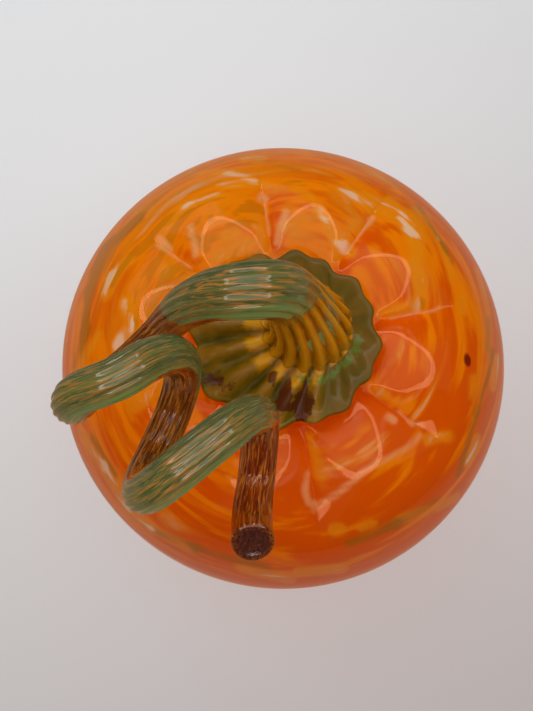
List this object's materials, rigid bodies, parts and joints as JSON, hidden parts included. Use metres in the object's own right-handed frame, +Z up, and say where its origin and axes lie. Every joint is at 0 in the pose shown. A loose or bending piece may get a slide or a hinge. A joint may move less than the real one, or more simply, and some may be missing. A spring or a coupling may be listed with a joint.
{
  "type": "glass pumpkin ornament",
  "caption": "Hollow blown-glass pumpkin with lobes round a dimpled top, a pressed calyx over the neck hole and a ribbed stem drawn into an arch and a loose curl.",
  "frame": {"origin": "middle of the standing ring, on the surface that the pumpkin stands on", "axes": "+Z up through the body and the neck hole; the stem arches from the middle towards -X and its curl lies towards -X and -Y"},
  "size_m": [0.1549, 0.1548, 0.1568],
  "materials": {
    "orange_glass": "fire-polished blown glass, saturated orange with clear and amber swirls",
    "amber_green_glass": "fire-polished amber and brown glass with a green skin, ribbed",
    "green_glass": "drawn glass rod, silvery green outside the bends and red-brown amber inside them, finely streaked"
  },
  "bodies": {
    "root": {"blown_body": "orange_glass", "calyx": "amber_green_glass", "curled_stem": "green_glass"}
  },
  "joints": []
}
